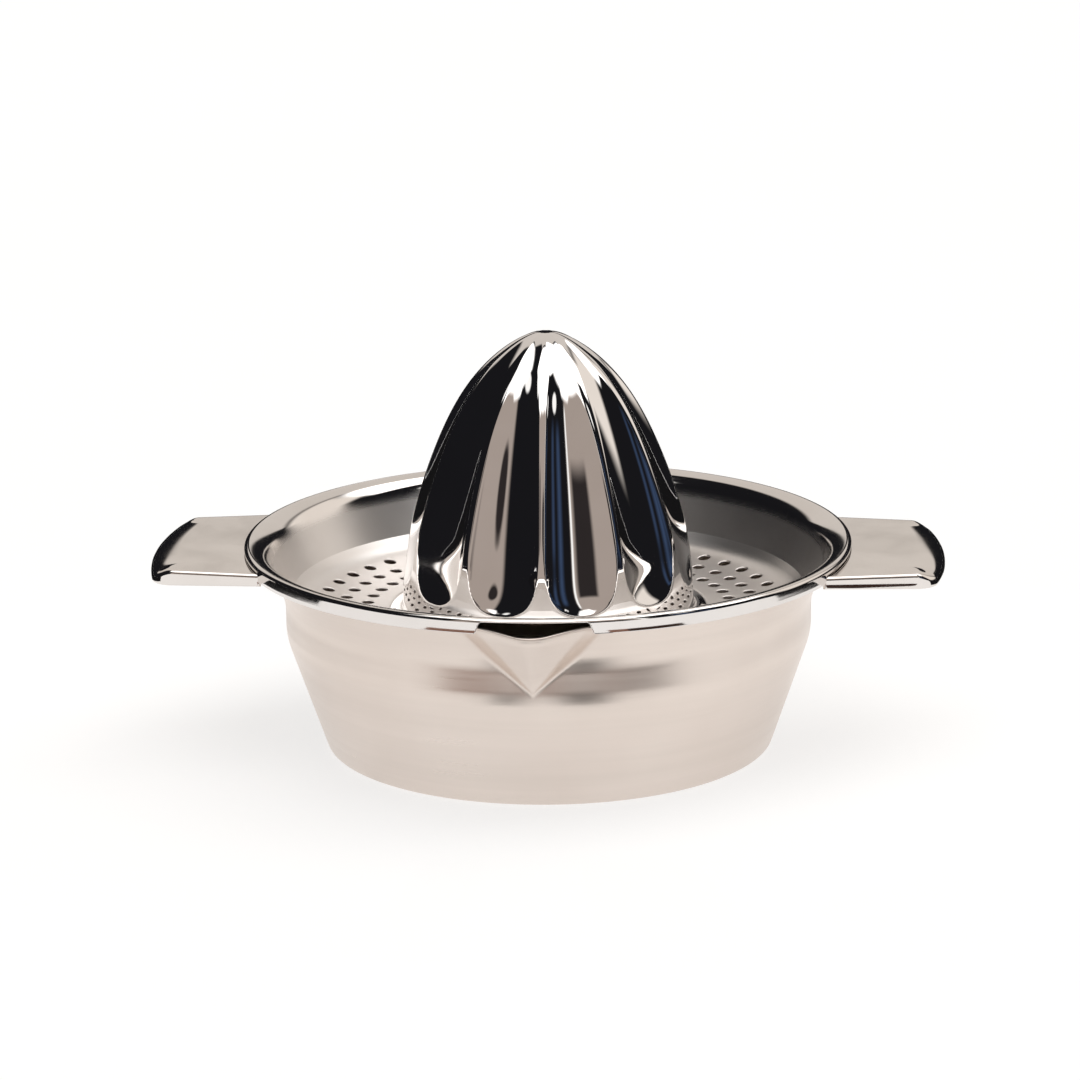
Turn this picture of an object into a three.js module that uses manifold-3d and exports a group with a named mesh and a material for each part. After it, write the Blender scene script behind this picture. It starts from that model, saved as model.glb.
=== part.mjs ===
// Hand citrus juicer in two nesting stainless pressings.
// Lower part: a bowl with a flat bottom, a conical lower wall, an upright upper
// band, an out-turned rim flange, a V spout and two tab handles with turned-down
// edges. Upper part: a strainer tray with a rolled rim and a skirt that hangs
// over the bowl's flange, rings of small holes, and a hollow fluted reamer.
//
// Millimetres, +Z up. Origin at the centre of the bowl's underside. The handles
// lie along X and the spout points towards -Y. Heights named *_Z are absolute;
// profile heights are written below the rim's top edge (rel = Z - RIM_Z).

import * as THREE from 'three';
import { mergeVertices } from 'three/addons/utils/BufferGeometryUtils.js';
import { ConvexGeometry } from 'three/addons/geometries/ConvexGeometry.js';
import Module from 'manifold-3d';

const wasm = await Module();
wasm.setup();

// ---------------------------------------------------------------- dimensions
const RIM_Z = 47.7;          // top edge of the strainer's rim above the base
const RIM_R = 69.0;          // outside radius of the strainer's rim and skirt
const SKIRT_DROP = 3.45;     // the skirt hangs this far below the rim's top
const SHEET = 0.6;           // sheet thickness of the pressings
const TRAY_SHEET = 0.5;      // drawn wall of the tray
const ROLL_R = 5.5;          // radius of the bead from the rim into the tray wall
const ROLL_C = 68.2;         // radius at which that bead starts
const ROLL_END = 152;        // the bead turns this far, then the wall runs straight down and in
const TRAY_R = 58.5;         // inside radius of the tray at the foot of its sloping wall
const FLOOR = -16.5;         // perforated floor, below the rim's top
const FOOT_R = 36.5;         // where the floor ends at the reamer's foot

const BOWL_R = 59.9;         // outside radius of the bowl's upright band
const BOWL_BASE_R = 51.0;    // outside radius at the bowl's underside
const CREASE = -21.2;        // band meets cone here, below the rim's top
const FLANGE_R = 67.8;       // outer edge of the bowl's flange
const FLANGE = -1.9;         // top face of the flange and of the handles

const HOLE_R = 1.4;          // strainer holes
const HOLE_RINGS = [52.4, 47.0, 41.6];
const HOLE_SPOKES = 48;

const FLUTES = 11;           // hollow flutes round the reamer, with a ridge between each two
const FLUTE_EDGE = 28 * Math.PI / 180;   // turn of the flute's arc from its middle to a ridge
const DOME_TOP = 47.6;       // top of the reamer above the rim's top
const FLUTE_END = -10.0;     // the middle of a flute runs out here
const PEAK = -3.4;           // the ridges end here and widen into the plain foot

const SPOUT_KEEL_R = 72.2;   // spout tip
const SPOUT_W = 18.6;        // half-width of the spout's root at the flange
const SPOUT_APEX = -18.8;    // where the spout runs out on the band
const NOTCH_W = 12.1;        // half-width of the skirt's notch over the spout

const HANDLE_TIP = 90.2;     // handle ends on this radius
const HANDLE_ROOT_W = 26.85; // half-widths of the handle
const HANDLE_TIP_W = 23.6;
const HANDLE_LIP_ROOT = 2.8; // depth of the turned-down lip
const HANDLE_LIP_TIP = 3.7;

const SEG = 48;              // facets around the bowl and tray

// ---------------------------------------------------------------- helpers
function toSolid(geometry) {
  const g = geometry.clone();
  for (const name of Object.keys(g.attributes)) if (name !== 'position') g.deleteAttribute(name);
  const m = mergeVertices(g, 1e-4);
  const vertProperties = new Float32Array(m.attributes.position.array);
  const idx = m.index.array;
  const tri = [];
  for (let i = 0; i < idx.length; i += 3) {
    const [a, b, c] = [idx[i], idx[i + 1], idx[i + 2]];
    if (a !== b && b !== c && a !== c) tri.push(a, b, c);
  }
  // outward faces: the signed volume must be positive
  let vol = 0;
  const P = vertProperties;
  for (let i = 0; i < tri.length; i += 3) {
    const [a, b, c] = [tri[i] * 3, tri[i + 1] * 3, tri[i + 2] * 3];
    vol += P[a] * (P[b + 1] * P[c + 2] - P[b + 2] * P[c + 1])
         - P[a + 1] * (P[b] * P[c + 2] - P[b + 2] * P[c])
         + P[a + 2] * (P[b] * P[c + 1] - P[b + 1] * P[c]);
  }
  if (vol < 0) for (let i = 0; i < tri.length; i += 3) [tri[i + 1], tri[i + 2]] = [tri[i + 2], tri[i + 1]];
  return new wasm.Manifold(new wasm.Mesh({ numProp: 3, vertProperties, triVerts: new Uint32Array(tri) }));
}

function toGeometry(solid) {
  const mesh = solid.getMesh();
  const n = mesh.numProp;
  const pos = new Float32Array((mesh.vertProperties.length / n) * 3);
  for (let i = 0, j = 0; i < mesh.vertProperties.length; i += n, j += 3) {
    pos[j] = mesh.vertProperties[i];
    pos[j + 1] = mesh.vertProperties[i + 1];
    pos[j + 2] = mesh.vertProperties[i + 2];
  }
  const g = new THREE.BufferGeometry();
  g.setAttribute('position', new THREE.BufferAttribute(pos, 3));
  g.setIndex(new THREE.BufferAttribute(new Uint32Array(mesh.triVerts), 1));
  g.computeVertexNormals();
  return g;
}

// revolve a closed (radius, rel height) outline about Z; azimuth 0 is -Y and
// grows towards +X, so vertices fall on the four axes
function revolve(outline, segments = SEG, shape = null) {
  const pts = outline.map(([r, z]) => new THREE.Vector2(r, z + RIM_Z));
  const g = new THREE.LatheGeometry(pts, segments);
  g.rotateX(Math.PI / 2);
  if (shape) {
    const p = g.attributes.position;
    for (let i = 0; i < p.count; i++) {
      const x = p.getX(i), y = p.getY(i), z = p.getZ(i) - RIM_Z;
      const r = Math.hypot(x, y);
      if (r < 1e-6) continue;
      const k = shape(r, Math.atan2(x, -y), z, i % outline.length) / r;
      p.setX(i, x * k);
      p.setY(i, y * k);
    }
  }
  return g;
}

function prism(shape, z0, z1) {
  const g = new THREE.ExtrudeGeometry(shape, { depth: z1 - z0, bevelEnabled: false, curveSegments: 12 });
  g.translate(0, 0, z0 + RIM_Z);
  return g;
}

function arc(cx, cz, r, a0, a1, n) {
  const out = [];
  for (let i = 0; i <= n; i++) {
    const a = THREE.MathUtils.degToRad(a0 + (a1 - a0) * i / n);
    out.push([cx + r * Math.cos(a), cz + r * Math.sin(a)]);
  }
  return out;
}

// ---------------------------------------------------------------- bowl
const BASE = -RIM_Z;
const bowlOuter = [
  [0, BASE],
  [49.4, BASE], [50.35, BASE + 0.45], [BOWL_BASE_R, BASE + 1.5],
  [59.45, CREASE - 1.5], [BOWL_R, CREASE + 1.7],
  [BOWL_R, -15.0], [60.2, -12.9], [61.0, -10.3],
  [64.2, -4.2], [65.0, -3.0], [66.2, FLANGE - SHEET],
  [FLANGE_R, FLANGE - SHEET], [FLANGE_R, FLANGE],
  [60, 3], [0, 3],
];
const bowlInner = [
  [0, BASE + SHEET],
  [49.3, BASE + SHEET], [49.9, BASE + 0.95], [BOWL_BASE_R - 0.62, BASE + 1.75],
  [58.84, CREASE - 1.5], [BOWL_R - SHEET, CREASE + 1.7],
  [BOWL_R - SHEET, -15.0], [59.6, -12.7], [60.35, -10.1],
  [63.6, -3.95], [64.4, -2.6], [66.0, FLANGE],
  [70, FLANGE], [70, 6], [0, 6],
];

// spout section at the flange: half-width fraction u against reach g(u)
const spoutReach = [[0, 1], [0.11, 0.985], [0.26, 0.895], [0.45, 0.78], [0.665, 0.655], [0.85, 0.42], [1, 0]];
function spoutCone(inset, topScale) {
  const reach = SPOUT_KEEL_R - BOWL_R;
  const apex = new THREE.Vector3(0, -(BOWL_R - inset), SPOUT_APEX + RIM_Z + inset * 0.4);
  const pts = [apex, new THREE.Vector3(0, -40, SPOUT_APEX + RIM_Z)];
  for (const [u, g] of spoutReach) {
    for (const side of u ? [-1, 1] : [1]) {
      const x = side * u * (SPOUT_W - inset * 1.1);
      const wall = Math.sqrt(BOWL_R * BOWL_R - x * x);
      const dip = Math.abs(u) < 0.665 ? 1.0 * (1 - Math.abs(u) / 0.665) : 0;
      const edge = new THREE.Vector3(x, -(wall + reach * g) + inset, FLANGE - dip + RIM_Z);
      pts.push(apex.clone().lerp(edge, topScale));
    }
  }
  const topZ = topScale > 1 ? 4 : FLANGE;
  pts.push(new THREE.Vector3(-SPOUT_W + inset, -40, topZ + RIM_Z), new THREE.Vector3(SPOUT_W - inset, -40, topZ + RIM_Z));
  return new ConvexGeometry(pts);
}

const bowlSolid = toSolid(revolve(bowlOuter))
  .intersect(toSolid(prism(new THREE.Shape().absarc(0, 0, 80, 0, Math.PI * 2), BASE - 1, FLANGE)))
  .add(toSolid(spoutCone(0, 1)))
  .subtract(toSolid(revolve(bowlInner)))
  .subtract(toSolid(spoutCone(0.75, 1.25)));

// ---------------------------------------------------------------- handles
function handlePlan(inset, root) {
  const s = new THREE.Shape();
  const wr = HANDLE_ROOT_W - inset, wt = HANDLE_TIP_W - inset, rt = HANDLE_TIP - inset;
  const xr = Math.sqrt(root * root - wr * wr);
  const cr = 6.0 - inset;                         // corner radius at the tip
  const cx = 84.0 - 0.9, cy = HANDLE_TIP_W - 6.0 + 0.35;
  s.moveTo(xr, -wr);
  s.lineTo(cx - 0.4, -(cy + cr));
  s.absarc(cx, -cy, cr, THREE.MathUtils.degToRad(-92), THREE.MathUtils.degToRad(-12), false);
  const tipA = Math.asin((cy - 2.6) / rt);
  s.absarc(0, 0, rt, -tipA, tipA, false);
  s.absarc(cx, cy, cr, THREE.MathUtils.degToRad(12), THREE.MathUtils.degToRad(92), false);
  s.lineTo(xr, wr);
  if (root > 60) {
    const a = Math.atan2(wr, xr);
    s.absarc(0, 0, root, a, -a, true);
  }
  return s;
}
function handleSide(inset) {
  // outline in X and rel height, swept across Y
  const s = new THREE.Shape();
  const bend = 3.0 - inset, xt = HANDLE_TIP - inset, top = FLANGE - inset;
  s.moveTo(50, top);
  s.lineTo(xt - bend, top);
  s.absarc(xt - bend, top - bend, bend, Math.PI / 2, 0, true);
  s.lineTo(xt, FLANGE - HANDLE_LIP_TIP - inset * 3);
  s.lineTo(86, FLANGE - HANDLE_LIP_TIP - inset * 3);
  s.lineTo(50, FLANGE - HANDLE_LIP_ROOT + 0.45 - inset * 3);
  s.closePath();
  const g = new THREE.ExtrudeGeometry(s, { depth: 80, bevelEnabled: false, curveSegments: 5 });
  g.translate(0, 0, -40);
  g.rotateX(Math.PI / 2);                          // shape Y becomes Z
  g.translate(0, 0, RIM_Z);
  return g;
}
const handleSolid = toSolid(prism(handlePlan(0, FLANGE_R + 0.3), -9, 0))
  .intersect(toSolid(handleSide(0)))
  .subtract(toSolid(prism(handlePlan(SHEET, 50), -10, 1)).intersect(toSolid(handleSide(SHEET))));

// ---------------------------------------------------------------- strainer tray
const trayTop = [
  [FOOT_R, FLOOR], [54.0, FLOOR], [55.5, FLOOR + 0.75], [57.2, FLOOR + 2.6], [TRAY_R - 0.2, -12.4], [TRAY_R + 0.2, -11.7],
  ...arc(ROLL_C, -ROLL_R, ROLL_R, ROLL_END, 90, 4),
  [68.8, -0.2], [RIM_R, -0.7], [RIM_R, -SKIRT_DROP],
];
const trayUnder = [
  [RIM_R - SHEET, -SKIRT_DROP], [RIM_R - SHEET, -0.95], [68.15, -0.6],
  ...arc(ROLL_C, -ROLL_R, ROLL_R - TRAY_SHEET, 95, ROLL_END, 4),
  [TRAY_R + 0.65, -11.9], [TRAY_R + 0.35, -12.6], [57.6, FLOOR + 2.1], [55.9, FLOOR + 0.2], [54.2, FLOOR - SHEET], [FOOT_R, FLOOR - SHEET],
];
const trayOutline = [...trayTop, ...trayUnder];
trayOutline.push(trayOutline[0]);
let traySolid = toSolid(revolve(trayOutline));

// strainer holes on staggered rings
let holes = null;
HOLE_RINGS.forEach((R, ring) => {
  for (let k = 0; k < HOLE_SPOKES; k++) {
    const a = (k + (ring % 2 ? 0 : 0.5)) * 2 * Math.PI / HOLE_SPOKES;
    const c = new THREE.CylinderGeometry(HOLE_R, HOLE_R, 3, 6);
    c.rotateX(Math.PI / 2);
    c.rotateZ(a);
    c.translate(R * Math.sin(a), -R * Math.cos(a), FLOOR - 0.3 + RIM_Z);
    const s = toSolid(c);
    holes = holes ? holes.add(s) : s;
  }
});
traySolid = traySolid.subtract(holes);

// only the skirt is notched, so each cutter is kept to the skirt's own ring
const SKIRT_IN = RIM_R - SHEET - 0.45;
const skirtRing = toSolid(revolve([
  [SKIRT_IN, 0], [RIM_R + 2, 0], [RIM_R + 2, -5], [SKIRT_IN, -5], [SKIRT_IN, 0],
]));

// notch over the spout: a little wider at the skirt's lower edge
const notch = new THREE.Shape();
notch.moveTo(-NOTCH_W, -0.95);
notch.lineTo(NOTCH_W, -0.95);
notch.lineTo(NOTCH_W + 0.3, -2.6);
notch.lineTo(NOTCH_W + 1.3, -3.7);
notch.lineTo(-NOTCH_W - 1.3, -3.7);
notch.lineTo(-NOTCH_W - 0.3, -2.6);
notch.closePath();
const notchGeo = new THREE.ExtrudeGeometry(notch, { depth: 20, bevelEnabled: false });
notchGeo.rotateX(Math.PI / 2);                     // shape Y becomes Z, depth runs towards -Y
notchGeo.translate(0, -60, RIM_Z);
traySolid = traySolid.subtract(toSolid(notchGeo).intersect(skirtRing));

// notches over the two handles
for (const side of [-1, 1]) {
  const b = new THREE.BoxGeometry(20, 2 * (HANDLE_ROOT_W + 0.6), 3);
  b.translate(side * 70, 0, -1.6 - 1.5 + RIM_Z);
  traySolid = traySolid.subtract(toSolid(b).intersect(skirtRing));
}

// ---------------------------------------------------------------- reamer
// ridge radius against height, from the foot to the tip
const ridge = [
  [33.2, -14.4], [33.05, FLUTE_END], [33.04, -9.3], [33.0, -8.2], [32.9, -6.2], [32.6, PEAK], [32.1, 0], [31.25, 3.5],
  [29.77, 9], [27.39, 16], [24.62, 23], [21.13, 30], [17.24, 36], [13.77, 40], [9.79, 43.5], [6.08, 45.8],
  [3.85, 46.9], [2.84, 47.35],
];
const domeOuter = [
  [FOOT_R - 0.4, FLOOR], [35.3, FLOOR + 0.05], [34.2, FLOOR + 0.55], [33.5, FLOOR + 1.2],
  ...ridge, [0, DOME_TOP],
];
// offset the outline inwards by the sheet
function offset(line, t) {
  return line.map(([r, z], i) => {
    const a = line[Math.max(0, i - 1)], b = line[Math.min(line.length - 1, i + 1)];
    let dx = b[0] - a[0], dz = b[1] - a[1];
    const l = Math.hypot(dx, dz);
    dx /= l; dz /= l;
    return [Math.max(0, r - dz * t), z + dx * t];
  });
}
const under = offset(domeOuter, SHEET);
under[0] = [FOOT_R - 0.4, FLOOR - SHEET];
under[under.length - 1] = [0, DOME_TOP - SHEET];
const domeInner = under.filter((p, i) => i < 11 || i % 2 === 0 || i > under.length - 4);
const domeOutline = [[0, DOME_TOP], ...domeOuter.slice(0, -1).reverse(), ...domeInner];

// depth of a flute's middle below the ridge's height, where it runs out
const runOut = [[FLUTE_END, 0], [-9.2, 0.68], [-8.2, 1.42], [-6.1, 2.85], [PEAK, 3.6]];
function fluteDepth(z) {
  for (let i = 1; i < runOut.length; i++) {
    const [z0, d0] = runOut[i - 1], [z1, d1] = runOut[i];
    if (z <= z1) return d0 + (d1 - d0) * (z - z0) / (z1 - z0);
  }
  return runOut[runOut.length - 1][1];
}
// a flute is a hollow cut with a round cutter; between the run-outs the plain
// round foot is left standing
function fluteRadius(r, az, z) {
  if (z < FLUTE_END) return r;
  const step = 2 * Math.PI / FLUTES;
  const half = step / 2;
  let a = az - half;                                // ridges face the spout and every step
  a -= Math.round(a / step) * step;
  const rho = r * Math.sin(half) / Math.sin(FLUTE_EDGE);
  const full = r * Math.cos(half) - rho * (1 - Math.cos(FLUTE_EDGE));
  const middle = z < PEAK ? Math.max(full, r - fluteDepth(z)) : full;
  const c = middle + rho;
  const hollow = c * Math.cos(a) - Math.sqrt(rho * rho - (c * Math.sin(a)) ** 2);
  return Math.min(r, hollow);
}
const domeSolid = toSolid(revolve(domeOutline, 6 * FLUTES, (r, az, z) => fluteRadius(r, az, z)));

// ---------------------------------------------------------------- materials
const polished = new THREE.MeshStandardMaterial({ color: 0xc9c6c2, roughness: 0.08, metalness: 1.0 });
const satin = new THREE.MeshStandardMaterial({ color: 0xcfc6bd, roughness: 0.32, metalness: 1.0 });
const polishedTab = new THREE.MeshStandardMaterial({ color: 0xcac5c0, roughness: 0.1, metalness: 1.0 });
const traySteel = new THREE.MeshStandardMaterial({ color: 0xc6c4c3, roughness: 0.16, metalness: 1.0 });

function piece(name, solid, material) {
  const mesh = new THREE.Mesh(toGeometry(solid), material);
  mesh.name = name;
  return mesh;
}

// ---------------------------------------------------------------- assembly
const juicer = new THREE.Group();
juicer.name = 'hand_citrus_juicer';

const lower = new THREE.Group();
lower.name = 'lower_part';
lower.add(piece('juice_bowl', bowlSolid, satin));
const right = piece('handle_right', handleSolid, polishedTab);
const left = piece('handle_left', handleSolid, polishedTab);
left.rotation.z = Math.PI;
lower.add(right, left);

const upper = new THREE.Group();
upper.name = 'upper_part';
upper.add(piece('strainer_tray', traySolid, traySteel));
upper.add(piece('reamer_dome', domeSolid, polished));

juicer.add(lower, upper);

export default juicer;
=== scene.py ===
import math

import bpy
import numpy as np
from mathutils import Matrix, Vector


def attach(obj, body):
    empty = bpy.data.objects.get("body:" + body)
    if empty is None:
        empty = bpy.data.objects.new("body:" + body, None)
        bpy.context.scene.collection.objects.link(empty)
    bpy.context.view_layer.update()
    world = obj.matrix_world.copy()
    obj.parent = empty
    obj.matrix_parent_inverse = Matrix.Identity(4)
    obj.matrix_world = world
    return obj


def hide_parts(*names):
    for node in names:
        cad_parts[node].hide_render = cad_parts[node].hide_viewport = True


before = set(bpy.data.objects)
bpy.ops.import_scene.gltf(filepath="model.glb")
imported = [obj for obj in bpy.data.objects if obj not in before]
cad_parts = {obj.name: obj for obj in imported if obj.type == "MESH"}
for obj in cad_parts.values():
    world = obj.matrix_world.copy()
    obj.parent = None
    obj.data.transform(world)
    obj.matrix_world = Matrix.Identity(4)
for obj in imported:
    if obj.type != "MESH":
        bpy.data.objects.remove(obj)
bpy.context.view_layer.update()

# All shapes below are in millimetres. Heights are measured from the top of the
# strainer's ring (negative = below it) and RIM lifts them into the shared frame.
# Azimuth 0 is the spout (-Y), positive towards +X.
MM = 0.001
RIM = 47.7
PI = math.pi
TAU = 2 * math.pi


# ------------------------------------------------------------------ mesh tools
class Shell:
    def __init__(self):
        self.v = []
        self.n = 0
        self.f = []

    def add(self, pts):
        pts = np.asarray(pts, float).reshape(-1, 3)
        self.v.append(pts)
        i = np.arange(self.n, self.n + len(pts))
        self.n += len(pts)
        return i

    def bridge(self, a, b):
        # closed loops of equal length
        a2, b2 = np.roll(a, -1), np.roll(b, -1)
        self.f.append(np.stack([a, a2, b2, b], 1))

    def loops(self, loops):
        idx = [self.add(p) for p in loops]
        for a, b in zip(idx[:-1], idx[1:]):
            self.bridge(a, b)
        return idx

    def fan(self, a, centre, flip=False):
        c = self.add([centre])[0]
        a2 = np.roll(a, -1)
        tri = np.stack([a, a2, np.full(len(a), c)], 1)
        if flip:
            tri = tri[:, ::-1]
        self.f.append(tri)

    def stitch(self, a, ta, b, tb):
        # closed loops of different lengths, matched by their parameter
        na, nb = len(a), len(b)
        i = j = 0
        out = []
        while i < na or j < nb:
            pa = ta[i + 1] if i + 1 < na else ta[0] + TAU
            pb = tb[j + 1] if j + 1 < nb else tb[0] + TAU
            step_a = j >= nb or (i < na and pa <= pb)
            if step_a:
                out.append((a[i % na], a[(i + 1) % na], b[j % nb]))
                i += 1
            else:
                out.append((a[i % na], b[(j + 1) % nb], b[j % nb]))
                j += 1
        self.f.append(np.array(out))

    def build(self, name, mat):
        v = np.concatenate(self.v) * MM
        me = bpy.data.meshes.new(name)
        counts = np.concatenate([np.full(len(f), f.shape[1]) for f in self.f])
        loops = np.concatenate([f.reshape(-1) for f in self.f])
        me.vertices.add(len(v))
        me.vertices.foreach_set("co", v.reshape(-1))
        me.loops.add(len(loops))
        me.loops.foreach_set("vertex_index", loops.astype(np.int32))
        me.polygons.add(len(counts))
        starts = np.concatenate([[0], np.cumsum(counts)[:-1]])
        me.polygons.foreach_set("loop_start", starts.astype(np.int32))
        me.polygons.foreach_set("use_smooth", np.ones(len(counts), bool))
        me.update(calc_edges=True)
        me.validate()
        me.materials.append(mat)
        ob = bpy.data.objects.new(name, me)
        bpy.context.scene.collection.objects.link(ob)
        return ob


def polar(r, z, az):
    r = np.broadcast_to(r, az.shape)
    z = np.broadcast_to(z, az.shape)
    return np.stack([r * np.sin(az), -r * np.cos(az), z + RIM], 1)


def smin(a, b, k):
    d = np.maximum(k - np.abs(a - b), 0) / k
    return np.minimum(a, b) - d * d * k * 0.25


def smax(a, b, k):
    return -smin(-a, -b, k)


def rounded(points, steps=6):
    """A polyline of (x, y, radius) with each corner rounded by its radius."""
    out = []
    n = len(points)
    for i, (x, y, r) in enumerate(points):
        p = np.array([x, y], float)
        if i in (0, n - 1) or r <= 0:
            out.append(p)
            continue
        a = np.array(points[i - 1][:2], float) - p
        b = np.array(points[i + 1][:2], float) - p
        la, lb = np.linalg.norm(a), np.linalg.norm(b)
        a, b = a / la, b / lb
        ang = math.acos(max(-1, min(1, float(a @ b))))
        t = min(r / math.tan(ang / 2), la * 0.49, lb * 0.49)
        rr = t * math.tan(ang / 2)
        mid = (a + b) / np.linalg.norm(a + b)
        c = p + mid * rr / math.sin(ang / 2)
        s, e = p + a * t, p + b * t
        t0 = math.atan2(*(s - c)[::-1])
        t1 = math.atan2(*(e - c)[::-1])
        d = (t1 - t0 + PI) % TAU - PI
        for k in range(steps + 1):
            q = t0 + d * k / steps
            out.append(c + rr * np.array([math.cos(q), math.sin(q)]))
    return np.array(out)


def arc(cx, cy, r, a0, a1, n):
    a = np.radians(np.linspace(a0, a1, n + 1))
    return np.stack([cx + r * np.cos(a), cy + r * np.sin(a)], 1)


def spline(points, n):
    """Natural cubic spline through the points, n samples evenly along it."""
    p = np.array(points, float)
    t = np.concatenate([[0], np.cumsum(np.linalg.norm(np.diff(p, axis=0), axis=1))])
    h = np.diff(t)
    m = len(p)
    A = np.eye(m)
    rhs = np.zeros_like(p)
    for i in range(1, m - 1):
        A[i, i - 1], A[i, i], A[i, i + 1] = h[i - 1], 2 * (h[i - 1] + h[i]), h[i]
        rhs[i] = 6 * ((p[i + 1] - p[i]) / h[i] - (p[i] - p[i - 1]) / h[i - 1])
    M = np.linalg.solve(A, rhs)
    q = np.linspace(0, t[-1], n)
    k = np.clip(np.searchsorted(t, q, side="right") - 1, 0, m - 2)
    d = (q - t[k])[:, None]
    hk = h[k][:, None]
    a = p[k]
    b = (p[k + 1] - p[k]) / hk - hk * (2 * M[k] + M[k + 1]) / 6
    return a + b * d + M[k] / 2 * d**2 + (M[k + 1] - M[k]) / (6 * hk) * d**3


# ------------------------------------------------------------------ materials
def rgb(r, g, b):
    return (r, g, b, 1.0)


class Mat:
    """Small helper around a node tree."""

    def __init__(self, name):
        self.m = bpy.data.materials.new(name)
        self.m.use_nodes = True
        self.t = self.m.node_tree
        self.bsdf = next(n for n in self.t.nodes if n.type == "BSDF_PRINCIPLED")

    def node(self, kind, **props):
        n = self.t.nodes.new(kind)
        for k, v in props.items():
            setattr(n, k, v)
        return n

    def link(self, a, b):
        self.t.links.new(a, b)

    def math(self, op, a, b=None, c=None, clamp=False):
        n = self.node("ShaderNodeMath", operation=op, use_clamp=clamp)
        for i, x in enumerate((a, b, c)):
            if x is None:
                continue
            if isinstance(x, (int, float)):
                n.inputs[i].default_value = x
            else:
                self.link(x, n.inputs[i])
        return n.outputs[0]

    def position(self):
        return self.node("ShaderNodeTexCoord").outputs["Object"]

    def noise(self, vec, scale, detail=3.0, rough=0.5, distort=0.0):
        n = self.node("ShaderNodeTexNoise", noise_dimensions="3D")
        self.link(vec, n.inputs["Vector"])
        n.inputs["Scale"].default_value = scale
        n.inputs["Detail"].default_value = detail
        n.inputs["Roughness"].default_value = rough
        n.inputs["Distortion"].default_value = distort
        return n.outputs["Fac"]

    def remap(self, x, a0, a1, b0, b1, clamp=True):
        n = self.node("ShaderNodeMapRange", clamp=clamp)
        self.link(x, n.inputs["Value"])
        for k, v in zip(("From Min", "From Max", "To Min", "To Max"), (a0, a1, b0, b1)):
            n.inputs[k].default_value = v
        return n.outputs["Result"]

    def mixrgb(self, fac, a, b):
        n = self.node("ShaderNodeMix", data_type="RGBA")
        self.link(fac, n.inputs["Factor"])
        for sock, x in ((n.inputs[6], a), (n.inputs[7], b)):
            if isinstance(x, tuple):
                sock.default_value = x
            else:
                self.link(x, sock)
        return n.outputs[2]

    def round_coords(self, around, along_z=0.0, along_r=0.0):
        """Object coordinates wrapped round the vertical axis without a seam: one
        turn is `around` long, heights and radii are scaled by the other two."""
        p = self.position()
        s = self.node("ShaderNodeSeparateXYZ")
        self.link(p, s.inputs[0])
        x, y, z = s.outputs
        r2 = self.math("ADD", self.math("MULTIPLY", x, x), self.math("MULTIPLY", y, y))
        r = self.math("SQRT", self.math("MAXIMUM", r2, 1e-9))
        cx = self.math("MULTIPLY", self.math("DIVIDE", x, r), around)
        cy = self.math("MULTIPLY", self.math("DIVIDE", y, r), around)
        cz = self.math("MULTIPLY", z, along_z)
        if along_r:
            cz = self.math("ADD", cz, self.math("MULTIPLY", r, along_r))
        c = self.node("ShaderNodeCombineXYZ")
        self.link(cx, c.inputs[0])
        self.link(cy, c.inputs[1])
        self.link(cz, c.inputs[2])
        return c.outputs[0], r, z

    def bump(self, height, strength, distance, normal=None):
        n = self.node("ShaderNodeBump")
        n.inputs["Strength"].default_value = strength
        n.inputs["Distance"].default_value = distance
        self.link(height, n.inputs["Height"])
        if normal is not None:
            self.link(normal, n.inputs["Normal"])
        return n.outputs[0]


def satin_steel(name):
    m = Mat(name)
    b = m.bsdf
    b.inputs["Metallic"].default_value = 1.0
    b.inputs["Anisotropic"].default_value = 0.55
    b.inputs["Anisotropic Rotation"].default_value = 0.0
    wrapped, r, z = m.round_coords(1.1, 900.0, 900.0)
    fine = m.noise(wrapped, 1.0, 4.0, 0.65)
    wrapped2, _, _ = m.round_coords(0.5, 220.0, 220.0)
    broad = m.noise(wrapped2, 1.0, 3.0, 0.6)
    pos = m.position()
    cloud = m.noise(pos, 34.0, 3.0, 0.5)
    # colour: warm grey, a little darker along the brushing
    c1 = m.mixrgb(m.remap(broad, 0.3, 0.7, 0.0, 1.0), rgb(0.76, 0.68, 0.62), rgb(0.80, 0.715, 0.655))
    c2 = m.mixrgb(m.remap(cloud, 0.35, 0.7, 0.0, 0.35), c1, rgb(0.70, 0.61, 0.55))
    m.link(c2, b.inputs["Base Color"])
    rough = m.math("ADD", m.remap(fine, 0.25, 0.75, 0.27, 0.35), m.remap(cloud, 0.3, 0.7, -0.02, 0.03))
    m.link(rough, b.inputs["Roughness"])
    m.link(m.bump(fine, 0.22, 0.00005), b.inputs["Normal"])
    return m.m


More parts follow.
